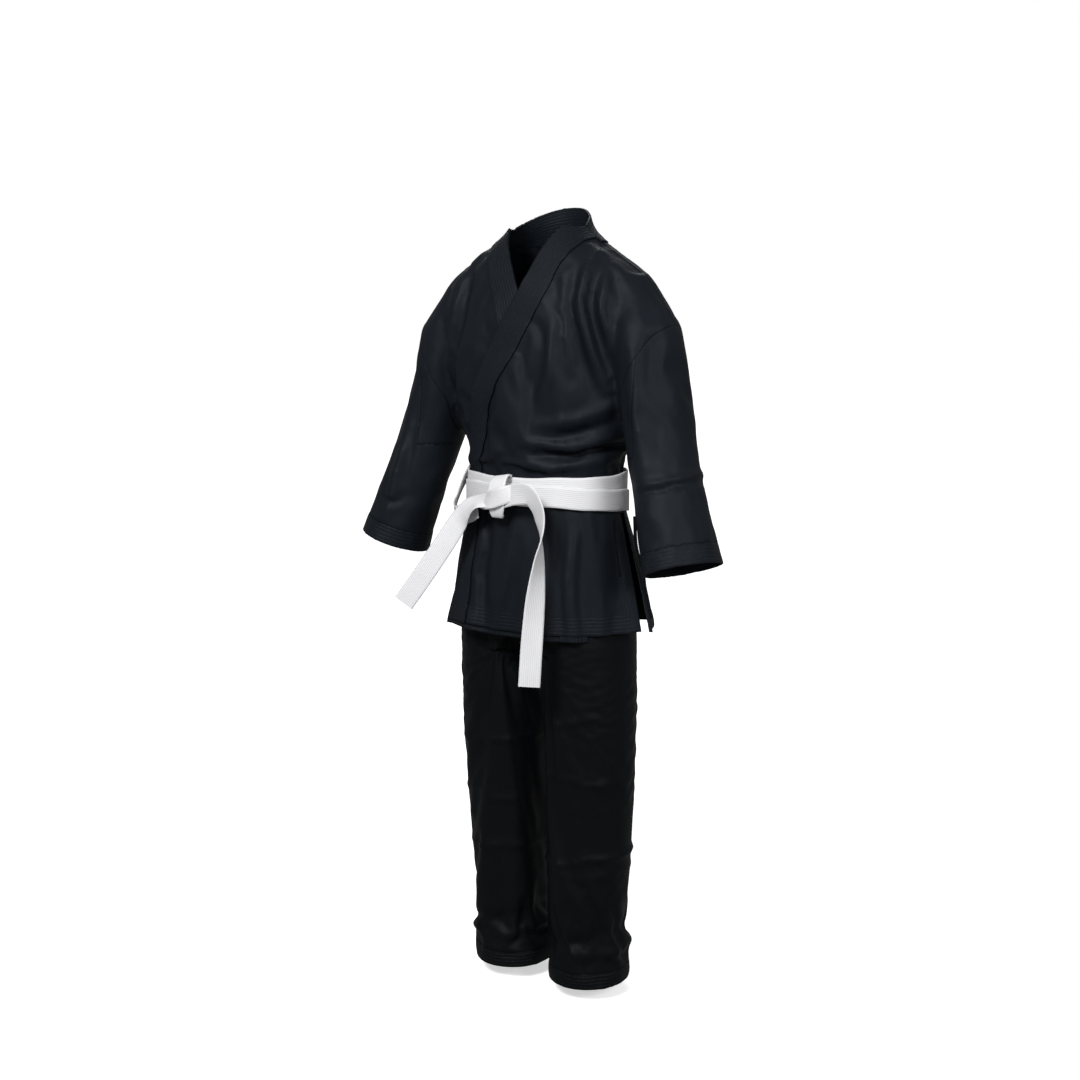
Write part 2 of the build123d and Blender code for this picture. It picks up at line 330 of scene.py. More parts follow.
def fold(co, line, width, depth, front=True, side=None):
    """Height of one fold along a front-view line, in metres, at each point."""
    x, y, z = co.T
    pts = np.array(line, float)
    best = np.full(len(co), 9.0)
    fade = np.ones(len(co))
    total = np.cumsum([0] + [np.linalg.norm(b - a) for a, b in zip(pts, pts[1:])])
    for i, (a, b) in enumerate(zip(pts, pts[1:])):
        d = b - a
        t = np.clip(((x - a[0]) * d[0] + (z - a[1]) * d[1]) / (d @ d), 0, 1)
        dist = np.hypot(x - a[0] - t * d[0], z - a[1] - t * d[1])
        along = (total[i] + t * np.linalg.norm(d)) / total[-1]
        nearer = dist < best
        best = np.where(nearer, dist, best)
        fade = np.where(nearer, np.sin(np.pi * np.clip(along, .04, .96)) ** .6, fade)
    on = (y < .01) if front else (y > 0)
    return np.where(on, depth * fade * np.exp(-(best / width) ** 2), 0)


def normals(obj):
    n = np.zeros(len(obj.data.vertices) * 3)
    obj.data.vertices.foreach_get("normal", n)
    return n.reshape(-1, 3)


def sway(co, scale, seed):
    """Smooth noise between about -1 and 1 at each point."""
    off = Vector((seed * 7.1, seed * 3.3, seed * 5.7))
    return np.array([noise.noise(Vector(p) * scale + off) for p in co])


# Jacket
JACKET_FOLDS = [  # front-view line, half width, height; negative heights are valleys
    ([(.135, .428), (.134, .343), (.153, .277), (.174, .195)], .0085, .0075),
    ([(.120, .420), (.116, .340), (.135, .270), (.158, .190)], .0085, -.0075),
    ([(.152, .410), (.152, .340), (.170, .280), (.190, .205)], .0080, -.0080),
    ([(.168, .390), (.170, .330), (.188, .265)], .0080, .0055),
    ([(.092, .330), (.088, .220), (.062, .155)], .0110, .0055),
    ([(.070, .330), (.064, .230), (.040, .170)], .0120, -.0040),
    ([(-.130, .428), (-.142, .340), (-.166, .250), (-.186, .190)], .0085, .0065),
    ([(-.114, .420), (-.124, .330), (-.148, .240)], .0095, -.0060),
    ([(-.150, .410), (-.162, .330), (-.184, .250)], .0085, -.0070),
    ([(.188, .172), (.130, .140), (.060, .128)], .0085, .0060),
    ([(.180, .138), (.130, .116), (.080, .106)], .0065, -.0075),
    ([(.180, .112), (.120, .092), (.045, .096)], .0080, .0065),
    ([(.172, .086), (.110, .070), (.030, .078)], .0070, -.0060),
    ([(.150, .056), (.080, .048), (.000, .056)], .0080, .0055),
    ([(-.060, .056), (-.110, .050), (-.150, .060)], .0080, .0050),
    ([(.130, -.045), (.120, -.150), (.140, -.270)], .0130, .0060),
    ([(.070, -.045), (.060, -.150), (.066, -.270)], .0140, -.0045),
    ([(.010, -.045), (.000, -.150), (-.020, -.260)], .0130, .0055),
    ([(-.050, -.045), (-.058, -.160), (-.050, -.270)], .0120, -.0045),
    ([(.262, .014), (.300, .020), (.360, .038)], .0050, -.0045),
    ([(.262, .024), (.300, .030), (.360, .048)], .0060, .0035),
    ([(.235, .270), (.248, .150), (.270, .060)], .0120, .0050),
    ([(.262, .280), (.282, .150), (.300, .050)], .0130, -.0040),
    ([(-.262, .100), (-.285, .020), (-.300, -.070)], .0110, .0055),
    ([(-.240, .200), (-.262, .070), (-.268, -.020)], .0110, -.0050),
    ([(-.262, -.030), (-.290, -.042), (-.330, -.026)], .0060, -.0040),
]

SHARPEN = .60


def steadied(obj, rest, now, mask, rounds):
    """Evens out how far the points in the mask moved, so a stitched band stays straight."""
    ends = np.zeros(len(obj.data.edges) * 2, int)
    obj.data.edges.foreach_get("vertices", ends)
    ends = ends.reshape(-1, 2)
    moved = now - rest
    count = np.zeros(len(rest))
    for a, b in (ends.T, ends.T[::-1]):
        np.add.at(count, a, 1)
    for _ in range(rounds):
        total = np.zeros_like(moved)
        for a, b in (ends.T, ends.T[::-1]):
            np.add.at(total, a, moved[b])
        moved[mask] = total[mask] / count[mask, None]
    return rest + moved


def flap_flare(rest):
    """How far the back flaps of the skirt spread sideways, past the vents."""
    x, y, z = rest.T
    side = np.clip(y / .02, 0, 1) * np.clip((np.abs(x) - .03) / .14, 0, 1)
    side *= sleeve_side(rest) < 0
    return np.sign(x) * np.where(x > 0, .030, .036) * side * np.clip((-.03 - z) / .22, 0, 1)


jacket = jacket_form()
REST_J = coords(jacket.data)
folds = sum(fold(REST_J, *f) for f in JACKET_FOLDS)
seeds = folds + .0022 * sway(REST_J * np.array([1, 1, .45]), 22, 1)
seeds += .0016 * sway(REST_J * np.array([1, 1, .5]), 45, 2)
set_coords(jacket.data, REST_J + normals(jacket) * seeds[:, None])

body = collider("body_form", [tube(BODY), tube(ARM, 1), tube(ARM, -1)])
z = REST_J[:, 2]
x = REST_J[:, 0]
in_arm = sleeve_side(REST_J) > 0
pins = np.where((np.abs(z) < .021) & (np.abs(x) < .2), 1.0, 0)
pins = np.where(z > .447, 1.0, pins)
pins = np.where(in_arm & (cuff_height(REST_J) < .008), 1.0, pins)
left_band = (x > line_x(LEFT_EDGE, z) - .004) & (x < line_x(LEFT_SEAM, z))
right_band = (z > .33) & (x < line_x(RIGHT_EDGE, z) + .004) & (x > line_x(RIGHT_SEAM, z))
lapel = (REST_J[:, 1] < .02) & (left_band | right_band)
cuff = in_arm & (cuff_height(REST_J) < .036)
stiff = np.where(lapel, 1.0, np.where(cuff, .3, 0))
skirt = np.clip((-.05 - z) / .1, 0, 1) * .7
arm_calm = np.clip((.40 - z) / .08, 0, 1)
calm = np.where(lapel, 1.0, np.where(np.abs(x) > .185, arm_calm, skirt))
SIM_J = simulate(jacket, 26, pins, stiff, calm, pull=3.0)
SIM_J = steadied(jacket, REST_J, SIM_J, lapel, 30)
hold = np.where(in_arm, np.clip((.26 - z) / .16, 0, 1) * .85, 0)
SIM_J += (coords(jacket.data) - SIM_J) * hold[:, None]
bpy.data.objects.remove(body)
SIM_J[:, 0] += flap_flare(REST_J)
set_coords(jacket.data, SIM_J)
set_coords(jacket.data, SIM_J + normals(jacket) * (SHARPEN * folds)[:, None])

# Trousers
# Packing folds round the legs: side, height, tilt, half width, height of the crease
LEG_CREASES = [
    (1, -.432, .10, .0038, .0075), (1, -.540, -.08, .0040, .0045), (1, -.705, .16, .0042, .0080),
    (1, -.730, .05, .0040, .0035), (1, -.862, .25, .0100, -.0065), (1, -.886, .10, .0110, .0100),
    (-1, -.492, -.06, .0038, .0065), (-1, -.600, .08, .0045, .0045), (-1, -.705, -.10, .0045, .0060),
    (-1, -.858, -.25, .0100, -.0065), (-1, -.882, -.10, .0110, .0090),
]
LEG_FOLDS = [
    ([(.020, -.24), (.035, -.34), (.040, -.50)], .012, .008),
    ([(-.010, -.25), (-.030, -.36), (-.045, -.52)], .011, .006),
    ([(.050, -.20), (.062, -.34), (.075, -.56)], .013, -.006),
    ([(.060, -.60), (.085, -.72), (.090, -.86)], .013, .005),
    ([(.150, -.30), (.152, -.50), (.140, -.70)], .014, -.005),
    ([(-.060, -.30), (-.080, -.50), (-.075, -.72)], .012, .005),
    ([(-.140, -.30), (-.150, -.50), (-.140, -.72)], .014, .004),
    ([(.110, -.30), (.118, -.48), (.112, -.66)], .012, .004),
]


def leg_crease(co, side, height, tilt, width, depth):
    x, y, z = co.T
    off = z - height - tilt * (x * side - .1) - .004 * np.sin(x * 60 + height * 90)
    patchy = np.clip(.5 + 1.2 * sway(co * np.array([1, 1, 0]), 9, height * 10), 0, 1)
    strength = .35 + .65 * patchy
    return np.where(x * side > 0, depth * strength * np.exp(-(off / width) ** 2), 0)


trousers = trouser_form()
REST_T = coords(trousers.data)
seeds = sum(fold(REST_T, *f) for f in LEG_FOLDS)
seeds += .0022 * sway(REST_T * np.array([1, 1, .35]), 20, 3)
seeds += .0012 * sway(REST_T * np.array([1, 1, .5]), 45, 4)
set_coords(trousers.data, REST_T + normals(trousers) * seeds[:, None])
body = collider("leg_form", [tube(HIP_BODY), tube(LEG_BODY, 1), tube(LEG_BODY, -1)])
z = REST_T[:, 2]
pins = np.where((z > -.030) | (z < TROUSER_END + .008), 1.0, 0)
hem = np.where(z < TROUSER_END + TROUSER_HEM, 1.0, 0)
calm = np.clip((z + .80) / .4, 0, 1)
SIM_T = simulate(trousers, 22, pins, hem, calm, shrink=-.024, bend=7.0, bend_max=30.0, pull=4.0)
bpy.data.objects.remove(body)
creases = sum(leg_crease(REST_T, *c) for c in LEG_CREASES)
set_coords(trousers.data, SIM_T)
set_coords(trousers.data, SIM_T + normals(trousers) * creases[:, None])


# From one skin to separate pieces
def refined(obj, rest):
    """Subdivides the skin and returns a bmesh in rest shape that carries the hung shape in a layer."""
    layer = obj.data.attributes.new("rest", "FLOAT_VECTOR", "POINT")
    layer.data.foreach_set("vector", np.asarray(rest, np.float32).ravel())
    mod = obj.modifiers.new("fine", "SUBSURF")
    mod.levels = mod.render_levels = 1
    fine = evaluated(obj)
    obj.modifiers.clear()
    fine.update()
    nor = np.zeros(len(fine.vertices) * 3)
    fine.vertices.foreach_get("normal", nor)
    up = fine.attributes.new("nor", "FLOAT_VECTOR", "POINT")
    up.data.foreach_set("vector", nor.astype(np.float32))
    bm = bmesh.new()
    bm.from_mesh(fine)
    bpy.data.meshes.remove(fine)
    hung = bm.verts.layers.float_vector.new("hung")
    flat = bm.verts.layers.float_vector["rest"]
    for v in bm.verts:
        v[hung] = v.co
        v.co = v[flat]
    return bm


def cut(bm, point, normal, where):
    """Cuts clean edges along a plane through the faces whose middle passes the test."""
    faces = [f for f in bm.faces if where(f.calc_center_median())]
    geom = set(faces)
    for f in faces:
        geom.update(f.edges)
        geom.update(f.verts)
    unit = Vector(normal).normalized()
    bmesh.ops.bisect_plane(bm, geom=list(geom), dist=2e-4, plane_co=point, plane_no=unit)


def cut_line(bm, line, front=True, side=1):
    """Cuts along a front-view line, segment by segment."""
    for (x0, z0), (x1, z1) in zip(line, line[1:]):
        low, high = min(z0, z1) - .004, max(z0, z1) + .004
        left, right = sorted((side * x0, side * x1))
        def near(m):
            return low < m.z < high and left - .02 < m.x < right + .02 and (m.y < .012 or not front)

        cut(bm, (side * x0, 0, z0), (z1 - z0, 0, side * (x0 - x1)), near)


def arrays(bm):
    """Rest points, hung points, their normals, and the faces of the bmesh."""
    hung, up = bm.verts.layers.float_vector["hung"], bm.verts.layers.float_vector["nor"]
    bm.verts.index_update()
    rest = np.array([v.co for v in bm.verts])
    now = np.array([v[hung] for v in bm.verts])
    nor = np.array([v[up] for v in bm.verts])
    nor /= np.linalg.norm(nor, axis=1)[:, None] + 1e-12
    return rest, now, nor, [tuple(v.index for v in f.verts) for f in bm.faces]


class Skin:
    """A hung skin cut along its seams, ready to be taken apart."""

    def __init__(self, bm):
        self.rest, self.now, self.nor, self.faces = arrays(bm)
        self.mid = np.array([self.rest[list(f)].mean(0) for f in self.faces])

    def piece(self, name, mask, thick=.0012, offset=0.0, shift=None):
        """Closed thin piece from the faces in the mask, with its outer side at the offset."""
        faces = [f for f, ok in zip(self.faces, mask) if ok]
        used = sorted({i for f in faces for i in f})
        index = {v: i for i, v in enumerate(used)}
        faces = [tuple(index[i] for i in f) for f in faces]
        now, nor, rest = self.now[used], self.nor[used], self.rest[used]
        lift = np.full(len(used), offset) if shift is None else shift(rest)
        outer, inner = now + nor * lift[:, None], now + nor * (lift - thick)[:, None]
        count = len(used)
        edges = {}
        for f in faces:
            for a, b in zip(f, f[1:] + f[:1]):
                edges[(a, b)] = edges.get((a, b), 0) + 1
        rim = [(a, b) for a, b in edges if (b, a) not in edges]
        all_faces = faces + [tuple(i + count for i in reversed(f)) for f in faces]
        all_faces += [(b, a, a + count, b + count) for a, b in rim]
        at_rim = np.zeros(count)
        at_rim[list({i for e in rim for i in e})] = 1
        outer -= nor * (at_rim * .0005)[:, None]
        obj = mesh_object(name, np.vstack([outer, inner]), all_faces)
        store(obj, "rest", np.vstack([rest, rest]))
        store(obj, "rim", np.concatenate([at_rim, at_rim]))
        finish_mesh(obj, {frozenset(e) for a, b in rim for e in ((a, b), (a + count, b + count))})
        return obj


def store(obj, name, values):
    values = np.asarray(values, np.float32)
    kind = "FLOAT_VECTOR" if values.ndim == 2 else "FLOAT"
    layer = obj.data.attributes.get(name) or obj.data.attributes.new(name, kind, "POINT")
    layer.data.foreach_set("vector" if values.ndim == 2 else "value", values.ravel())


def finish_mesh(obj, sharp=()):
    """Smooth shading with the thin rims kept sharp."""
    data = obj.data
    data.polygons.foreach_set("use_smooth", [True] * len(data.polygons))
    if sharp:
        for e in data.edges:
            if frozenset(e.vertices) in sharp:
                e.use_edge_sharp = True
    data.update()


def ribbon(name, centre, across, out, width, thick, rounds=10, closed=False, shares=None):
    """Flat strap along centre points, with unit directions and a part of the width at each point."""
    shares = np.ones(len(centre)) if shares is None else shares
    centre, across, out = (np.asarray(a, float) for a in (centre, across, out))
    half, deep = width / 2, thick / 2
    profile = []
    for k in range(rounds + 1):
        t = -1 + 2 * k / rounds
        profile.append((t * (half - deep), deep))
    profile.append((half, 0))
    for k in range(rounds + 1):
        t = 1 - 2 * k / rounds
        profile.append((t * (half - deep), -deep))
    profile.append((-half, 0))
    count = len(profile)
    verts, flat = [], []
    run = np.concatenate([[0], np.cumsum(np.linalg.norm(np.diff(centre, axis=0), axis=1))])
    for c, a, o, s, share in zip(centre, across, out, run, shares):
        for u, v in profile:
            verts.append(c + a * u * share + o * v)
            flat.append((u * share, s, v))
    faces = []
    rings = len(centre)
    for r in range(rings if closed else rings - 1):
        low, high = r * count, (r + 1) % rings * count
        for i in range(count):
            j = (i + 1) % count
            faces.append((low + j, low + i, high + i, high + j))
    ends = set()
    if not closed:
        last = (rings - 1) * count
        faces.append(tuple(range(count)))
        faces.append(tuple(range(last + count - 1, last - 1, -1)))
        for base in (0, last):
            ends |= {frozenset((base + i, base + (i + 1) % count)) for i in range(count)}
    obj = mesh_object(name, verts, faces)
    store(obj, "rest", np.array(flat))
    bm = bmesh.new()
    bm.from_mesh(obj.data)
    bmesh.ops.recalc_face_normals(bm, faces=bm.faces)
    bm.to_mesh(obj.data)
    bm.free()
    finish_mesh(obj, ends)
    return obj


def cut_level(bm, height, where=lambda m: True):
    """Cuts a level seam."""
    cut(bm, (0, 0, height), (0, 0, 1), lambda m: abs(m.z - height) < .012 and where(m))


def cut_upright(bm, x, where):
    """Cuts a seam that faces sideways."""
    cut(bm, (x, 0, 0), (1, 0, 0), lambda m: abs(m.x - x) < .012 and where(m))


def cut_crosswise(bm, y, where):
    """Cuts a seam that faces front and back, on the body side of the armhole."""
    cut(bm, (0, y, 0), (0, 1, 0),
        lambda m: abs(m.y - y) < .012 and abs(m.x) < line_x(ARMHOLE, m.z) + .008 and where(m))


bm = refined(jacket, REST_J)
for line in (LEFT_EDGE, LEFT_SEAM, RIGHT_EDGE, RIGHT_SEAM):
    cut_line(bm, line)
cut_crosswise(bm, SPLIT_Y, lambda m: True)
cut_upright(bm, 0, lambda m: m.y > 0)
cut_level(bm, HEM_Z)
cut_level(bm, NECK_BASE)
cut_level(bm, NECK_SIDE, lambda m: m.y < SPLIT_Y)
cut(bm, (0, 0, NECK_SIDE), (0, NECK_SIDE - NECK_TOP, NECK_REAR),
    lambda m: abs(m.z - collar_top(m.y)) < .014 and m.y > SPLIT_Y)
cut_level(bm, HEM_Z - UNDER_HEM, lambda m: m.y < SPLIT_Y)
cut_level(bm, VENT_Z, lambda m: abs(m.y) < .02 and abs(m.x) < .2)
for way in (1, -1):
    cut_crosswise(bm, SPLIT_Y + way * VENT_HALF, lambda m: m.z < VENT_Z + .004)
    cut_line(bm, ARMHOLE[:2], front=False, side=way)
    cut_upright(bm, way * GUSSET_X, lambda m: GUSSET_Z - .004 < m.z < .26)
    cut_level(bm, GUSSET_Z, lambda m: .2 < way * m.x < GUSSET_X + .004)
    (z1, x1, y1), (z0, x0, y0) = SLEEVE[-2][:3], SLEEVE[-4][:3]
    along = Vector((way * (x0 - x1), y0 - y1, z0 - z1)).normalized()
    end = Vector((way * x1, y1, SLEEVE_END))
    for high in (0, CUFF_DEEP):
        cut(bm, end + along * high, along, lambda m: way * m.x > .236 and m.z < -.08)
J = Skin(bm)
bm.free()
mx, my, mz = J.mid.T
in_sleeve = sleeve_side(J.mid) > 0
kept = (mz > HEM_Z - UNDER_HEM) | in_sleeve
kept &= ~(in_sleeve & (cuff_height(J.mid) < 0))
kept &= ~(~in_sleeve & (np.abs(my - SPLIT_Y) < VENT_HALF) & (mz < VENT_Z) & (np.abs(mx) > .1))
kept &= mz < collar_top(my)
front = ~in_sleeve & (my < SPLIT_Y) & kept
back = ~in_sleeve & (my > SPLIT_Y) & kept & (mz < NECK_BASE) & (mz > HEM_Z)
band = (my > SPLIT_Y) & kept & (mz > NECK_BASE)
on_left, on_right = mx > line_x(LEFT_EDGE, mz), mx < line_x(RIGHT_EDGE, mz)


def right_lift(rest):
    """Depth of the right front: level with its neighbours at its seams and deeper under the left front."""
    x, y, z = rest.T
    hidden = np.clip((x - line_x(LEFT_EDGE, z)) / .045, 0, 1)
    seam = np.clip(np.minimum(SPLIT_Y - y, -sleeve_side(rest)) / .03, 0, 1)
    return -.0015 * seam - .0035 * hidden


def right_band_lift(rest):
    """The right lapel lies on the right front, and dives under the left front with it."""
    x, y, z = rest.T
    return .0022 - .0042 * np.clip((x - line_x(LEFT_EDGE, z) + .012) / .02, 0, 1)


CLOTH, BAND = .0013, .0030
left_band = front & on_left & (mx < line_x(LEFT_SEAM, mz)) & (mz > HEM_Z)
right_band = front & on_right & (mx > line_x(RIGHT_SEAM, mz))
upper, skirt = mz > 0, mz < 0
PIECES = []


def cloth(name, skin, mask, nodes, body, thick=CLOTH, **lift):
    """One piece of cloth that stands for CAD nodes and rides on a body; with a blend given instead of a body,
    it keeps its baked place in the world.
    """
    obj = skin.piece(name, mask, thick, **lift)
    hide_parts(*nodes)
    if isinstance(body, str):
        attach(obj, body)
    else:
        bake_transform(obj)
    PIECES.append(obj)
    return obj


def arm_blend(way, word):
    return ("jacket", word + "_arm", (way * .165, 0, .3), (way * .245, 0, .3))


both = {1: "left", -1: "right"}
for way, word in both.items():
    on_side = way * mx > 0
    face = front & (on_left & (mz > HEM_Z) if way > 0 else on_right)
    lift = {"offset": 0.0} if way > 0 else {"shift": right_lift}
    cloth(word + "_front_upper", J, face & upper, [word + "_front"], arm_blend(way, word), **lift)
    cloth(word + "_front_skirt", J, face & skirt, [word + "_front"], "jacket", **lift)
    cloth(word + "_back_upper", J, back & on_side & upper, [word + "_back"], arm_blend(way, word))
    cloth(word + "_back_skirt", J, back & on_side & skirt, [word + "_back"], "jacket")
    arm = in_sleeve & kept & on_side
    cuff = arm & (cuff_height(J.mid) < CUFF_DEEP)
    gusset = arm & ~cuff & (np.abs(mx) < GUSSET_X) & (mz > GUSSET_Z)
    cloth(word + "_sleeve_cloth", J, arm & ~cuff & ~gusset, [word + "_sleeve"], arm_blend(way, word))
    cloth(word + "_underarm_cloth", J, gusset, [word + "_underarm_gusset"], arm_blend(way, word))
    cloth(word + "_cuff_cloth", J, cuff, [word + "_cuff"], word + "_arm", thick=.0024, offset=.0005)
cloth("left_lapel_band", J, left_band, ["left_lapel"], "jacket", thick=BAND, offset=BAND + .0003)
cloth("right_lapel_band", J, right_band, ["right_lapel"], "jacket", thick=BAND, shift=right_band_lift)
cloth("neck_band_cloth", J, band, ["neck_band"], "jacket", thick=BAND + .0012, offset=BAND + .0003)
bpy.data.objects.remove(jacket)

# Trouser pieces
bm = refined(trousers, REST_T)
for high in (WAIST_LOW, WAIST_TOP, TROUSER_END, TROUSER_END + TROUSER_HEM):
    cut_level(bm, high)
for high in (CROTCH_LOW, CROTCH_HIGH):
    cut_level(bm, high, lambda m: abs(m.x) < CROTCH_HALF + .01)
for x in (-CROTCH_HALF, CROTCH_HALF):
    cut_upright(bm, x, lambda m: CROTCH_LOW < m.z < CROTCH_HIGH)
cut_upright(bm, 0, lambda m: m.z > CROTCH_HIGH or m.z < CROTCH_LOW)
T = Skin(bm)
bm.free()
tx, ty, tz = T.mid.T
crotch = (np.abs(tx) < CROTCH_HALF) & (tz > CROTCH_LOW) & (tz < CROTCH_HIGH)
waistband = (tz > WAIST_LOW) & (tz < WAIST_TOP)
cloth("waistband_cloth", T, waistband, ["trouser_waistband"], "trousers", thick=.0024, offset=.0006)
cloth("crotch_gusset_cloth", T, crotch, ["crotch_gusset"], "trousers")
for way, word in both.items():
    leg = (way * tx > 0) & ~crotch
    hem = leg & (tz < TROUSER_END + TROUSER_HEM) & (tz > TROUSER_END)
    nodes = [word + "_trouser_" + n for n in ("thigh", "knee", "shin")]
    bend = ("trousers", word + "_shin", (way * .105, 0, -.36), (way * .105, 0, -.63))
    main = leg & (tz < WAIST_LOW) & (tz > TROUSER_END + TROUSER_HEM)
    cloth(word + "_leg_cloth", T, main, nodes, bend)
    cloth(word + "_hem_cloth", T, hem, [word + "_trouser_hem"], word + "_shin", thick=.0024, offset=.0005)
bpy.data.objects.remove(trousers)


# Belt
BELT_WIDTH, BELT_PLY, BELT_CLEAR = .040, .003, .0043
WAIST = (.158, .109)
TURNS = {"belt_inner_turn": (0, .006, .018), "belt_outer_turn": (1, -.006, -.028)}


def turn(name, ply, front_lift, back_lift, steps=240):
    """One wrap of the belt round the waist."""
    grow = BELT_CLEAR + ply * (BELT_PLY + .0002) + BELT_PLY / 2
    t = np.linspace(0, 2 * math.pi, steps, endpoint=False)
    a, b = WAIST[0] + grow, WAIST[1] + grow
    centre = np.column_stack([a * np.cos(t), b * np.sin(t), np.zeros(steps)])
    share = (1 + np.sin(t)) / 2
    centre[:, 2] = front_lift + (back_lift - front_lift) * share
    centre[:, 2] += .0008 * np.sin(5 * t + ply) + .0005 * np.sin(11 * t)
    out = np.column_stack([b * np.cos(t), a * np.sin(t), np.zeros(steps)])
    out /= np.linalg.norm(out, axis=1)[:, None]
    across = np.tile([0.0, 0, 1], (steps, 1)) + out * (.02 * np.sin(3 * t + 2 * ply))[:, None]
    return ribbon(name, centre, across, out, BELT_WIDTH, BELT_PLY, closed=True)


def frames(points, hints, steps):
    """Smooth centre line through points with a smoothly turning width direction."""
    p, h = np.array(points, float), np.array(hints, float)
    k = np.linspace(0, len(p) - 1, steps)
    i = np.clip(k.astype(int), 0, len(p) - 2)
    f = (k - i)[:, None]

    def spline(v):
        ext = np.vstack([2 * v[0] - v[1], v, 2 * v[-1] - v[-2]])
        a, b, c, d = ext[i], ext[i + 1], ext[i + 2], ext[i + 3]
        curve = 2 * b + (c - a) * f
        curve += (2 * a - 5 * b + 4 * c - d) * f ** 2 + (3 * b - a - 3 * c + d) * f ** 3
        return .5 * curve

    centre, across = spline(p), spline(h)
    run = np.gradient(centre, axis=0)
    run /= np.linalg.norm(run, axis=1)[:, None]
    across -= run * np.sum(across * run, axis=1)[:, None]
    across /= np.linalg.norm(across, axis=1)[:, None]
    return centre, across, np.cross(run, across)


def strap(name, points, hints, width=BELT_WIDTH, thick=BELT_PLY, steps=90, rounds=10, shares=None):
    centre, across, out = frames(points, hints, steps)
    if shares is not None:
        shares = np.interp(np.linspace(0, 1, steps), np.linspace(0, 1, len(shares)), shares)
    return ribbon(name, centre, across, out, width, thick, rounds=rounds, shares=shares)


for name, sizes in TURNS.items():
    obj = turn(name.replace("turn", "wrap"), *sizes)
    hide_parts(name)
    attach(obj, "jacket")
    PIECES.append(obj)

KNOT_RIBBONS = {  # centre points, the direction of the width at each, and the part of the full width there
    "knot_drop": (
        [(-.008, -.117, .026), (-.008, -.130, .027), (-.007, -.143, .014), (-.006, -.148, -.008),
         (-.007, -.147, -.028), (-.009, -.141, -.045), (-.010, -.130, -.044)],
        [(1, .05, .15), (1, 0, .15), (1, 0, .1), (1, 0, .05), (1, 0, 0), (1, 0, 0), (1, 0, 0)],
        [.80, .85, .95, 1.0, .92, .62, .40]),
    "knot_across": (
        [(-.044, -.136, -.020), (-.030, -.146, -.018), (-.012, -.153, -.013), (.008, -.153, -.006),
         (.026, -.146, .000), (.042, -.136, .002)],
        [(.1, .5, .8), (.1, .25, 1), (.2, 0, 1), (.2, 0, 1), (.1, .2, 1), (0, .3, 1)],
        [.70, .78, .85, .85, .80, .70]),
}
for name, (points, hints, shares) in KNOT_RIBBONS.items():
    obj = strap(name, points, hints, BELT_WIDTH, .0042, steps=60, shares=shares)
    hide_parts("belt_knot")
    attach(obj, "jacket")
    PIECES.append(obj)

LEFT_TAIL = (
    [(.002, -.141, -.010), (.040, -.149, .000), (.070, -.152, .000), (.088, -.152, -.020),
     (.094, -.150, -.046), (.096, -.150, -.076), (.094, -.154, -.12), (.091, -.161, -.19),
     (.089, -.169, -.27), (.088, -.175, -.342)],
    [(0, .2, 1), (.25, .0, 1), (.75, -.2, .6), (.95, -.35, .2), (.85, -.5, 0), (.60, -.80, 0),
     (.10, -1, 0), (-.45, -.9, 0), (-.72, -.69, 0), (-.78, -.62, 0)])
RIGHT_TAIL = (
    [(-.026, -.137, -.016), (-.052, -.143, -.020), (-.078, -.145, -.036), (-.098, -.147, -.064),
     (-.120, -.162, -.106), (-.148, -.183, -.158), (-.180, -.206, -.214)],
    [(.1, .75, .55), (-.1, .75, .6), (-.4, .35, .8), (-.6, -.05, .7), (-.7, -.25, .6), (-.73, -.33, .55),
     (-.74, -.36, .52)])
SLACK = (
    [(-.158, .000, .034), (-.164, -.030, .016), (-.160, -.060, -.012), (-.147, -.092, -.042),
     (-.112, -.124, -.052), (-.062, -.132, -.034)],
    [(.3, -.3, 1), (.45, -.5, .8), (.55, -.7, .5), (.58, -.8, .2), (.5, -.5, .6), (0, .2, 1)])

tail = strap("left_tail_band", *LEFT_TAIL, steps=150)
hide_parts("belt_left_loop", "belt_left_tail")
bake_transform(tail)
PIECES.append(tail)
tail = strap("right_tail_band", *RIGHT_TAIL, steps=110)
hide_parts("belt_right_loop", "belt_right_tail")
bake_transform(tail)
PIECES.append(tail)
slack = strap("outer_wrap_slack", *SLACK, steps=90)
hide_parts("belt_outer_turn")
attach(slack, "jacket")
PIECES.append(slack)

# Fastening tapes
TAPE_WIDTH, TAPE_THICK = .010, .0016
TAPES = {
    "front_tie": [(.180, -.044, -.046), (.187, -.050, -.080), (.192, -.048, -.115), (.202, -.055, -.147)],
    "back_tie": [
        (.187, .016, -.046), (.192, .014, -.10), (.203, .022, -.15), (.210, .020, -.19),
        (.219, .024, -.234),
    ],
}
for way, word in both.items():
    for name, points in TAPES.items():
        spots = [(way * x, y, z) for x, y, z in points]
        hints = [(.2 * math.sin(2.0 * k + way), 1, .1) for k in range(len(spots))]
        tape = strap(f"{word}_{name}_band", spots, hints, TAPE_WIDTH, TAPE_THICK, steps=60, rounds=4)
        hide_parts(f"{word}_{name}")
        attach(tape, f"{word}_{name.replace('tie', 'tape')}")
        PIECES.append(tape)


# Stitch coordinates
def distance_to_line(rest, line):
    """Distance from each rest point to a front-view line, as sewn on the surface."""
    x, z = rest[:, 0], rest[:, 2]
    best = np.full(len(rest), 9.0)
    for (x0, z0), (x1, z1) in zip(line, line[1:]):
        dx, dz = x1 - x0, z1 - z0
        t = np.clip(((x - x0) * dx + (z - z0) * dz) / (dx * dx + dz * dz), 0, 1)
        best = np.minimum(best, np.hypot(x - x0 - t * dx, z - z0 - t * dz))
    return best


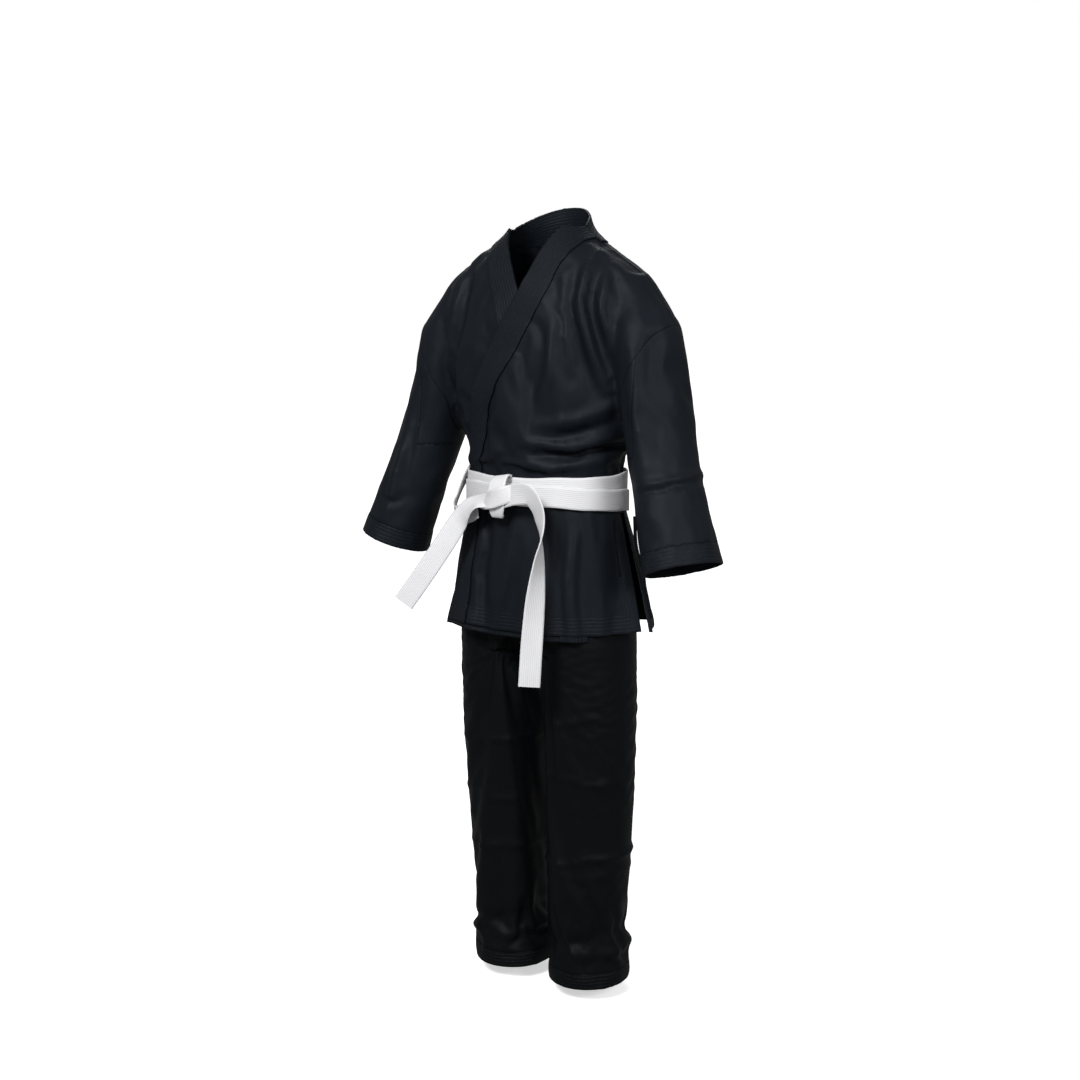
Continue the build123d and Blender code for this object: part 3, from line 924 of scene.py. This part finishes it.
def rows(obj, spacing, count, edge):
    """Stores where the stitch rows lie: row is whole on each of them, and band is 1 across them."""
    data = obj.data.attributes["rest"].data
    rest = np.zeros(len(data) * 3)
    data.foreach_get("vector", rest)
    rest = rest.reshape(-1, 3)
    far = edge(rest)
    store(obj, "row", far / spacing)
    store(obj, "band", np.clip((count + .5 - far / spacing) * 2, 0, 1))


def hem_or_vent(rest):
    """Distance to the jacket hem or to the vent edge, whichever is nearer."""
    hem = np.abs(rest[:, 2] - HEM_Z)
    vent = np.where(rest[:, 2] < VENT_Z, np.abs(np.abs(rest[:, 1] - SPLIT_Y) - VENT_HALF) * 1.25, 9)
    return np.minimum(hem, vent)


named = {o.name: o for o in PIECES}
for word, line in (("left", LEFT_EDGE), ("right", RIGHT_EDGE)):
    rows(named[word + "_lapel_band"], .0062, 8, lambda r: distance_to_line(r, line))
    rows(named[word + "_front_skirt"], .0065, 5, hem_or_vent)
    rows(named[word + "_back_skirt"], .0065, 5, hem_or_vent)
    rows(named[word + "_cuff_cloth"], .0070, 5, cuff_height)
    rows(named[word + "_hem_cloth"], .0065, 5, lambda r: r[:, 2] - TROUSER_END)
rows(named["neck_band_cloth"], .0062, 9, lambda r: collar_top(r[:, 1]) - r[:, 2])
rows(named["waistband_cloth"], .0060, 5, lambda r: WAIST_TOP - r[:, 2])


# Materials
def material(name, color, rough, sheen, gloss=.07):
    mat = bpy.data.materials.new(name)
    mat.use_nodes = True
    nodes, links = mat.node_tree.nodes, mat.node_tree.links
    shader = nodes["Principled BSDF"]
    shader.inputs["Base Color"].default_value = (*color, 1)
    shader.inputs["Roughness"].default_value = rough
    shader.inputs["Sheen Weight"].default_value = sheen
    shader.inputs["Sheen Roughness"].default_value = .45
    shader.inputs["Specular IOR Level"].default_value = gloss
    return mat, nodes, links, shader


def node(nodes, kind, **values):
    """A new node with its properties and input values set by name."""
    made = nodes.new(kind)
    for key, value in values.items():
        if key in made.inputs:
            made.inputs[key].default_value = value
        else:
            setattr(made, key, value)
    return made


def math_node(nodes, links, operation, *values):
    made = nodes.new("ShaderNodeMath")
    made.operation = operation
    for slot_in, value in zip(made.inputs, values):
        if isinstance(value, (int, float)):
            slot_in.default_value = value
        else:
            links.new(value, slot_in)
    return made.outputs[0]


def attribute(nodes, name, kind="Fac"):
    made = nodes.new("ShaderNodeAttribute")
    made.attribute_name = name
    return made.outputs[kind]


# Stitch thread colour, lighter than the cloth: the thread's own colour with a painted sheen on it.
THREAD_WITH_SHEEN = (.016, .018, .022)


def cotton(name, dark, light, rough, sheen, weave, stitched=0.0, bump=.35):
    """Woven cloth: two tones by noise, a twill bump, painted shade along the rims, and stitch rows where the
    piece has them, in a thread colour lightened as painted sheen.
    """
    mat, nodes, links, shader = material(name, dark, rough, sheen)
    place = attribute(nodes, "rest", "Vector")
    big = node(nodes, "ShaderNodeTexNoise", Scale=9.0, Detail=5.0, Roughness=.6)
    fine = node(nodes, "ShaderNodeTexNoise", Scale=420.0, Detail=3.0, Roughness=.7)
    twill = node(nodes, "ShaderNodeTexWave", bands_direction="DIAGONAL", Scale=weave, Distortion=.6)
    twill.inputs["Detail Scale"].default_value = 2
    for texture in (big, fine, twill):
        links.new(place, texture.inputs["Vector"])
    tone = math_node(nodes, links, "MULTIPLY_ADD", fine.outputs["Fac"], .45, -.1)
    tone = math_node(nodes, links, "MULTIPLY_ADD", big.outputs["Fac"], .75, tone)
    tone = math_node(nodes, links, "MULTIPLY_ADD", twill.outputs["Fac"], .12, tone)
    mix = node(nodes, "ShaderNodeMix", data_type="RGBA")
    color_in = [i for i in mix.inputs if i.name in "AB" and i.type == "RGBA"]
    color_in[0].default_value, color_in[1].default_value = (*dark, 1), (*light, 1)
    height = math_node(nodes, links, "MULTIPLY", fine.outputs["Fac"], .18)
    height = math_node(nodes, links, "MULTIPLY_ADD", twill.outputs["Fac"], .12, height)
    # Painted shade: the tone falls to the dark colour within a few millimetres of each piece's rim, standing
    # for the shadow in the seam grooves.
    seam = math_node(nodes, links, "MULTIPLY", attribute(nodes, "rim"), 1.3)
    seam = math_node(nodes, links, "SMOOTH_MIN", seam, 1.0, .2)
    clear_of_seam_shade = math_node(nodes, links, "SUBTRACT", 1.0, math_node(nodes, links, "POWER", seam, 3.0))
    tone = math_node(nodes, links, "MULTIPLY", tone, clear_of_seam_shade)
    links.new(tone, mix.inputs[0])
    color = [o for o in mix.outputs if o.type == "RGBA"][0]
    if stitched:
        row = attribute(nodes, "row")
        wobble = node(nodes, "ShaderNodeTexNoise", Scale=60.0, Detail=2.0)
        links.new(place, wobble.inputs["Vector"])
        shake = math_node(nodes, links, "MULTIPLY_ADD", wobble.outputs["Fac"], .16, -.08)
        row = math_node(nodes, links, "ADD", row, shake)
        off = math_node(nodes, links, "PINGPONG", row, .5)
        off = math_node(nodes, links, "SMOOTH_MIN", math_node(nodes, links, "MULTIPLY", off, 5.0), 1.0, .2)
        line = math_node(nodes, links, "MAXIMUM", math_node(nodes, links, "SUBTRACT", 1.0, off), 0.0)
        line = math_node(nodes, links, "MULTIPLY", line, attribute(nodes, "band"))
        dash = node(nodes, "ShaderNodeTexVoronoi", Scale=330.0)
        links.new(place, dash.inputs["Vector"])
        dashes = math_node(nodes, links, "LESS_THAN", dash.outputs["Distance"], .55)
        seen = math_node(nodes, links, "MULTIPLY", line, dashes)
        # Painted sheen: the stitch dashes are mixed towards the lighter thread colour.
        over = node(nodes, "ShaderNodeMix", data_type="RGBA")
        links.new(math_node(nodes, links, "MULTIPLY", seen, stitched), over.inputs[0])
        slots = [i for i in over.inputs if i.type == "RGBA"]
        links.new(color, slots[0])
        slots[1].default_value = (*THREAD_WITH_SHEEN, 1)
        color = [o for o in over.outputs if o.type == "RGBA"][0]
        groove = math_node(nodes, links, "MULTIPLY", line, .9)
        height = math_node(nodes, links, "SUBTRACT", height, groove)
    links.new(color, shader.inputs["Base Color"])
    relief = node(nodes, "ShaderNodeBump", Strength=bump, Distance=.0016)
    links.new(height, relief.inputs["Height"])
    links.new(relief.outputs["Normal"], shader.inputs["Normal"])
    return mat


def belt_cotton():
    """White cotton webbing with fine rows of stitching along its length."""
    mat, nodes, links, shader = material("belt_cotton_mat", (.62, .62, .63), .85, 0, gloss=.15)
    place = attribute(nodes, "rest", "Vector")
    split = nodes.new("ShaderNodeSeparateXYZ")
    links.new(place, split.inputs[0])
    lines = math_node(nodes, links, "MULTIPLY", split.outputs["X"], 1 / .0036)
    lines = math_node(nodes, links, "PINGPONG", lines, .5)
    groove = math_node(nodes, links, "MINIMUM", math_node(nodes, links, "MULTIPLY", lines, 5.0), 1.0)
    fine = node(nodes, "ShaderNodeTexNoise", Scale=500.0, Detail=3.0)
    cross = node(nodes, "ShaderNodeTexWave", bands_direction="Y", Scale=160.0, Distortion=1.0)
    big = node(nodes, "ShaderNodeTexNoise", Scale=20.0, Detail=3.0)
    for texture in (fine, cross, big):
        links.new(place, texture.inputs["Vector"])
    tone = math_node(nodes, links, "MULTIPLY", big.outputs["Fac"], .5)
    # Painted shade: the colour is darker along each stitch groove, where the bump sinks.
    tone = math_node(nodes, links, "MULTIPLY_ADD", groove, .5, tone)
    mix = node(nodes, "ShaderNodeMix", data_type="RGBA")
    slots = [i for i in mix.inputs if i.type == "RGBA"]
    slots[0].default_value, slots[1].default_value = (.52, .52, .535, 1), (.68, .68, .695, 1)
    links.new(tone, mix.inputs[0])
    links.new([o for o in mix.outputs if o.type == "RGBA"][0], shader.inputs["Base Color"])
    height = math_node(nodes, links, "MULTIPLY", fine.outputs["Fac"], .3)
    height = math_node(nodes, links, "MULTIPLY_ADD", groove, .6, height)
    height = math_node(nodes, links, "MULTIPLY_ADD", cross.outputs["Fac"], .15, height)
    relief = node(nodes, "ShaderNodeBump", Strength=.5, Distance=.0012)
    links.new(height, relief.inputs["Height"])
    links.new(relief.outputs["Normal"], shader.inputs["Normal"])
    return mat


JACKET_DARK, JACKET_LIGHT = (.0024, .0034, .0050), (.0095, .0122, .0164)
TROUSER_DARK, TROUSER_LIGHT = (.0014, .0019, .0025), (.0034, .0044, .0054)
MATERIALS = {
    "jacket_cloth": cotton("jacket_cloth_mat", JACKET_DARK, JACKET_LIGHT, .50, 0, 330),
    "jacket_stitched": cotton("jacket_stitched_mat", JACKET_DARK, JACKET_LIGHT, .50, 0, 330, stitched=.5),
    "lapel_cloth": cotton("lapel_cloth_mat", JACKET_DARK, JACKET_LIGHT, .55, 0, 330, stitched=.5, bump=.5),
    "trouser_cloth": cotton("trouser_cloth_mat", TROUSER_DARK, TROUSER_LIGHT, .50, 0, 360),
    "trouser_stitched": cotton(
        "trouser_stitched_mat", TROUSER_DARK, TROUSER_LIGHT, .52, 0, 360, stitched=.5),
    "tape": cotton("tape_mat", (.002, .002, .003), (.005, .0055, .007), .7, .02, 500),
    "belt_cotton": belt_cotton(),
}
for obj in PIECES:
    name = obj.name
    rowed = obj.data.attributes.get("row") is not None
    if name.endswith(("turn", "wrap", "slack", "tail_band")) or name.startswith("knot"):
        kind = paint = "belt_cotton"
    elif "tie_band" in name:
        kind = paint = "tape"
    elif "lapel" in name or "neck" in name:
        kind = paint = "lapel_cloth"
    elif "leg" in name or "hem" in name or "crotch" in name or "waistband" in name:
        kind, paint = "trouser_cloth", "trouser_stitched" if rowed else "trouser_cloth"
    else:
        kind, paint = "jacket_cloth", "jacket_stitched" if rowed else "jacket_cloth"
    obj.data.materials.append(MATERIALS[paint])

# Floor, light and camera
FLOOR_Z = START_BOUNDS[0][2] - .030
SURROUND = 1.0
scene = bpy.context.scene


def glowing(name, strength, base=(.9, .9, .9), far=None):
    """Pale diffuse surface that glows a little, up to full white by the far distance if there is one."""
    mat, nodes, links, shader = material(name, base, .95, 0, gloss=0)
    shader.inputs["Emission Color"].default_value = (1, 1, 1, 1)
    shader.inputs["Emission Strength"].default_value = strength
    if far:
        where = node(nodes, "ShaderNodeTexCoord")
        reach = node(nodes, "ShaderNodeVectorMath", operation="LENGTH")
        links.new(where.outputs["Object"], reach.inputs[0])
        ramp = node(nodes, "ShaderNodeMapRange", interpolation_type="SMOOTHSTEP")
        for key, value in {"From Min": .5, "From Max": far, "To Min": strength, "To Max": SURROUND}.items():
            ramp.inputs[key].default_value = value
        links.new(reach.outputs["Value"], ramp.inputs["Value"])
        links.new(ramp.outputs[0], shader.inputs["Emission Strength"])
    return mat


bpy.ops.mesh.primitive_circle_add(vertices=96, radius=38, fill_type="NGON", location=(0, 0, FLOOR_Z))
floor = bpy.context.object
floor.name = "floor"
floor.data.materials.append(glowing("floor_mat", .56, far=5.0))
floor.visible_diffuse = floor.visible_glossy = False
bpy.ops.mesh.primitive_uv_sphere_add(segments=48, ring_count=24, radius=40)
backdrop = bpy.context.object
backdrop.name = "backdrop"
backdrop.data.materials.append(glowing("backdrop_mat", SURROUND, base=(0, 0, 0)))
backdrop.visible_diffuse = backdrop.visible_glossy = backdrop.visible_shadow = False

world = bpy.data.worlds.new("studio")
scene.world = world
world.use_nodes = True
world.node_tree.nodes["Background"].inputs["Color"].default_value = (1, 1, 1, 1)
world.node_tree.nodes["Background"].inputs["Strength"].default_value = .26


def area_light(name, place, target, size, power):
    data = bpy.data.lights.new(name, "AREA")
    data.shape, data.size, data.energy = "SQUARE", size, power
    obj = bpy.data.objects.new(name, data)
    scene.collection.objects.link(obj)
    obj.location = place
    obj.rotation_euler = (Vector(target) - Vector(place)).to_track_quat("-Z", "Y").to_euler()


AIM = (0, 0, .05)
area_light("key", (.5, -3.0, 2.1), AIM, .9, 135)
area_light("fill", (3.2, -1.2, 1.3), AIM, 1.0, 60)
area_light("rim", (-1.8, 2.4, 2.2), AIM, 1.6, 50)

VIEW, PITCH, DISTANCE = math.radians(36), math.radians(8.3), 2.93
target = Vector((-.0123 * math.cos(VIEW), -.0123 * math.sin(VIEW), -.104))
back = Vector((math.sin(VIEW) * math.cos(PITCH), -math.cos(VIEW) * math.cos(PITCH), math.sin(PITCH)))
camera = bpy.data.objects.new("camera", bpy.data.cameras.new("camera"))
camera.data.lens = 51.6
camera.location = target + back * DISTANCE
camera.rotation_euler = (-back).to_track_quat("-Z", "Y").to_euler()
scene.collection.objects.link(camera)
scene.camera = camera
scene.view_settings.view_transform = "Standard"
